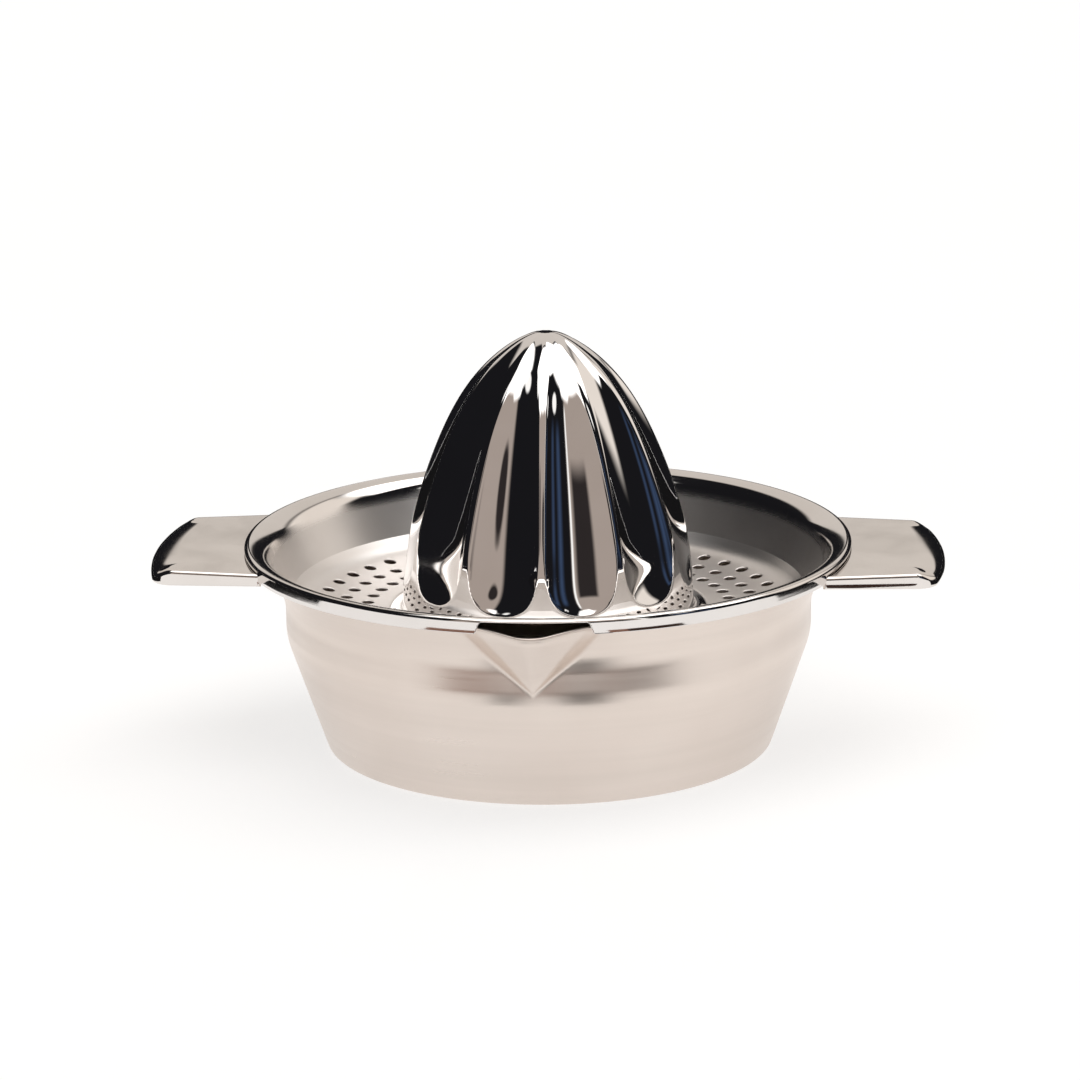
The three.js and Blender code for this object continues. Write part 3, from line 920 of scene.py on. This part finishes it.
# A black flag lying on the floor behind the object, seen only in its reflections.
flag_mat = Mat("flag_black")
flag_mat.bsdf.inputs["Base Color"].default_value = rgb(0.01, 0.01, 0.011)
flag_mat.bsdf.inputs["Specular IOR Level"].default_value = 0.0


def floor_flag(name, mat, a0, a1, near, far):
    """A flat card on the floor between azimuths a0 and a1 (degrees, from the
    camera's side); near and far are distances from the object's middle."""
    ring = [math.radians(a0 + (a1 - a0) * i / 48) for i in range(49)]
    fv = []
    for rad in (near, far):
        for a in ring:
            rr = rad(math.degrees(a)) if callable(rad) else rad
            q = to_object(Vector((math.sin(a), -math.cos(a), 0))) * rr
            fv.append((q.x, q.y, 0.0))
    me = bpy.data.meshes.new(name)
    me.from_pydata(fv, [], [(i, i + 1, 49 + i + 1, 49 + i) for i in range(48)])
    me.materials.append(mat)
    ob = bpy.data.objects.new(name, me)
    bpy.context.scene.collection.objects.link(ob)
    ob.visible_camera = False
    ob.visible_diffuse = False
    ob.visible_shadow = False
    ob.visible_transmission = False


floor_flag("flag_back", flag_mat.m, 82, 278, lambda a: 0.158 + 0.045 * max(0.0, abs(a - 180) / 85 - 0.25) / 0.75, 8.0)
brown_mat = Mat("flag_brown")
brown_mat.bsdf.inputs["Base Color"].default_value = rgb(0.05, 0.03, 0.025)
brown_mat.bsdf.inputs["Specular IOR Level"].default_value = 0.0
floor_flag("flag_front", brown_mat.m, 24, 42, 0.125, 0.2)
brown_mat2 = Mat("flag_tan")
brown_mat2.bsdf.inputs["Base Color"].default_value = rgb(0.30, 0.17, 0.13)
brown_mat2.bsdf.inputs["Specular IOR Level"].default_value = 0.0
for k, (a0, a1) in enumerate(((-38, -17), (-9, 4), (18, 24))):
    floor_flag("flag_wide_%d" % k, brown_mat2.m, a0, a1, 0.125, 0.2)
floor_flag("flag_near_right", flag_mat.m, 4, 18, 0.088, 0.162)
floor_flag("flag_near_left", flag_mat.m, -17, -9, 0.088, 0.15)


# ------------------------------------------------------------------ studio
# A white room with a dark flag down each side and a warm wall behind the camera.
world = bpy.data.worlds.new("studio")
bpy.context.scene.world = world
world.use_nodes = True
wt = world.node_tree
wt.nodes.clear()


def wn(kind, **props):
    n = wt.nodes.new(kind)
    for k, v in props.items():
        setattr(n, k, v)
    return n


def wmath(op, a, b=None, clamp=False):
    n = wn("ShaderNodeMath", operation=op, use_clamp=clamp)
    for i, x in enumerate((a, b)):
        if x is None:
            continue
        if isinstance(x, (int, float)):
            n.inputs[i].default_value = x
        else:
            wt.links.new(x, n.inputs[i])
    return n.outputs[0]


def wstep(x, a, b):
    n = wn("ShaderNodeMapRange", interpolation_type="SMOOTHSTEP")
    wt.links.new(x, n.inputs["Value"])
    n.inputs["From Min"].default_value = a
    n.inputs["From Max"].default_value = b
    return n.outputs["Result"]


def wmix(f, a, b):
    n = wn("ShaderNodeMix", data_type="RGBA")
    wt.links.new(f, n.inputs["Factor"])
    for sock, x in ((n.inputs[6], a), (n.inputs[7], b)):
        if isinstance(x, tuple):
            sock.default_value = x
        else:
            wt.links.new(x, sock)
    return n.outputs[2]


coord = wn("ShaderNodeTexCoord").outputs["Generated"]
sep = wn("ShaderNodeSeparateXYZ")
wt.links.new(coord, sep.inputs[0])
wx, wy, wz = sep.outputs
toward = to_object(Vector((0, -1, 0)))
# azimuth away from the camera's side, 0..180, signed towards +X
cxx = wmath("ADD", wmath("MULTIPLY", wx, toward.x), wmath("MULTIPLY", wy, toward.y))
cyy = wmath("ADD", wmath("MULTIPLY", wx, -toward.y), wmath("MULTIPLY", wy, toward.x))
az_deg = wmath("MULTIPLY", wmath("ARCTAN2", cyy, cxx), 180 / PI)
az_abs = wmath("ABSOLUTE", az_deg)
el_deg = wmath("MULTIPLY", wmath("ARCSINE", wz), 180 / PI)



def inside(x, a, b, soft):
    """1 where a < x < b, with soft edges."""
    up = wstep(x, a - soft, a + soft)
    down = wstep(x, b - soft, b + soft)
    return wmath("MULTIPLY", up, wmath("SUBTRACT", 1.0, down))


def spot(ac, ec, ra, re, soft):
    u = wmath("DIVIDE", wmath("SUBTRACT", az_deg, ac), ra)
    v = wmath("DIVIDE", wmath("SUBTRACT", el_deg, ec), re)
    d = wmath("SQRT", wmath("ADD", wmath("MULTIPLY", u, u), wmath("MULTIPLY", v, v)))
    return wmath("SUBTRACT", 1.0, wstep(d, 1 - soft, 1 + soft))


def both(a, b):
    return wmath("MULTIPLY", a, b)


BLACK = rgb(0.010, 0.010, 0.012)
DARK = rgb(0.03, 0.025, 0.025)
FRONT = rgb(0.44, 0.375, 0.335)
BACK = rgb(0.72, 0.67, 0.62)
WARM = rgb(0.95, 0.88, 0.81)
BLUE = rgb(0.045, 0.075, 0.15)
OVER = rgb(2.2, 2.18, 2.15)
PALE = rgb(1.2, 1.2, 1.18)
sky = wmix(inside(az_deg, -36, 36, 3), BLACK, FRONT)                                     # wall behind the camera
sky = wmix(both(inside(az_deg, 6, 31, 3), inside(el_deg, -20, 25, 3)), sky, DARK)
sky = wmix(spot(-25, 21, 6, 10, 0.25), sky, DARK)
sky = wmix(both(inside(az_deg, 34, 36.5, 1), inside(el_deg, -20, 45, 4)), sky, PALE)
sky = wmix(both(inside(az_deg, 49, 54, 3), inside(el_deg, 0, 32, 6)), sky, BLUE)       # window at the right
sky = wmix(both(inside(az_deg, 60, 63, 2.5), inside(el_deg, 4, 30, 6)), sky, BLUE)
sky = wmix(spot(60, 43, 5, 6, 0.2), sky, PALE)
sky = wmix(spot(-66, 57, 10, 8, 0.2), sky, PALE)
sky = wmix(both(inside(az_deg, 100, 138, 4), inside(el_deg, 10, 45, 4)), sky, WARM)        # soft box at the right
sky = wmix(both(wstep(az_abs, 138, 146), inside(el_deg, 14.0, 70, 0.7)), sky, BACK)        # wall at the back
az_rad = wmath("MULTIPLY", az_deg, PI / 180)
limit = wmath("SUBTRACT", 64.0, wmath("MULTIPLY", wmath("COSINE", az_rad), 10.0))
limit = wmath("SUBTRACT", limit, wmath("MULTIPLY", inside(az_deg, 82, 150, 10), 24.0))
limit = wmath("SUBTRACT", limit, wmath("MULTIPLY", inside(az_abs, 22, 44, 4), 4.5))
sky = wmix(wstep(wmath("SUBTRACT", el_deg, limit), -3, 3), sky, OVER)                    # ceiling
lp = wn("ShaderNodeLightPath").outputs["Is Camera Ray"]
sky = wmix(lp, sky, rgb(0.97, 0.97, 0.965))
bg = wn("ShaderNodeBackground")
wt.links.new(sky, bg.inputs["Color"])
bg.inputs["Strength"].default_value = 1.0
out = wn("ShaderNodeOutputWorld")
wt.links.new(bg.outputs[0], out.inputs["Surface"])

sc = bpy.context.scene
sc.view_settings.view_transform = "Standard"
sc.view_settings.look = "None"
sc.view_settings.exposure = 0.0
sc.view_settings.gamma = 1.0
